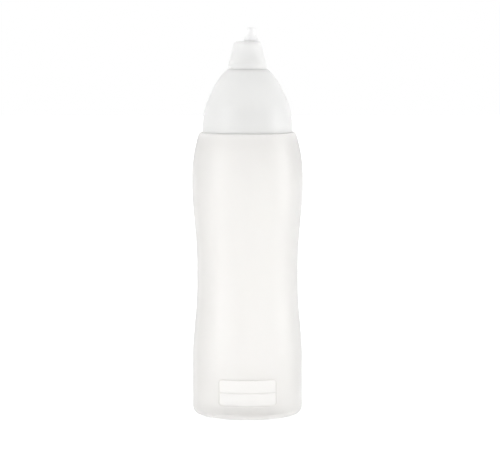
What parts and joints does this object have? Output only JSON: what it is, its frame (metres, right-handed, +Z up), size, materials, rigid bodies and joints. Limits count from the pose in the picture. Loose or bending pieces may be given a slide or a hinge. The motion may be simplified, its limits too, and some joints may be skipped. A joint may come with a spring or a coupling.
{
  "type": "squeeze sauce bottle",
  "caption": "Tall waisted squeeze bottle for sauces with a screw-on dome lid, a screw-on cone nozzle and a soft spout tip.",
  "frame": {"origin": "centre of the bottle's foot ring, on the plane it stands on", "axes": "+Z up along the bottle's axis, -Y towards the side with the write-on panel, +X towards the side that the spout tip is offset to"},
  "size_m": [0.075, 0.075, 0.2612],
  "materials": {
    "bottle": "translucent natural low-density polyethylene, blow moulded",
    "lid_gasket": "translucent white silicone rubber",
    "dome_lid": "white polyethylene, injection moulded, satin",
    "valve": "translucent silicone rubber",
    "valve_retainer": "white polypropylene, injection moulded",
    "nozzle_cone": "white polypropylene, injection moulded, satin",
    "nozzle_tip": "translucent soft silicone rubber"
  },
  "bodies": {
    "bottle": {"bottle": "bottle"},
    "gasket": {"lid_gasket": "lid_gasket"},
    "lid": {"dome_lid": "dome_lid"},
    "valve": {"valve": "valve", "valve_retainer": "valve_retainer"},
    "nozzle": {"nozzle_cone": "nozzle_cone", "nozzle_tip": "nozzle_tip"}
  },
  "joints": [
    {"name": "lid_lift", "type": "slide", "parent": "bottle", "child": "gasket", "axis": [0, 0, 1], "range_m": [0, 0.01375]},
    {"name": "lid_turn", "type": "hinge", "parent": "gasket", "child": "lid", "pos_m": [0, 0, 0.1975], "axis": [0, 0, 1], "range_deg": [0, 990]},
    {"name": "nozzle_lift", "type": "slide", "parent": "lid", "child": "valve", "axis": [0, 0, 1], "range_m": [0, 0.00675]},
    {"name": "nozzle_turn", "type": "hinge", "parent": "valve", "child": "nozzle", "pos_m": [0, 0, 0.2365], "axis": [0, 0, 1], "range_deg": [0, 810]}
  ],
  "couplings": [
    {"joint": "lid_lift", "follows": "lid_turn", "m_per_rad": 0.00079577},
    {"joint": "nozzle_lift", "follows": "nozzle_turn", "m_per_rad": 0.00047746}
  ]
}
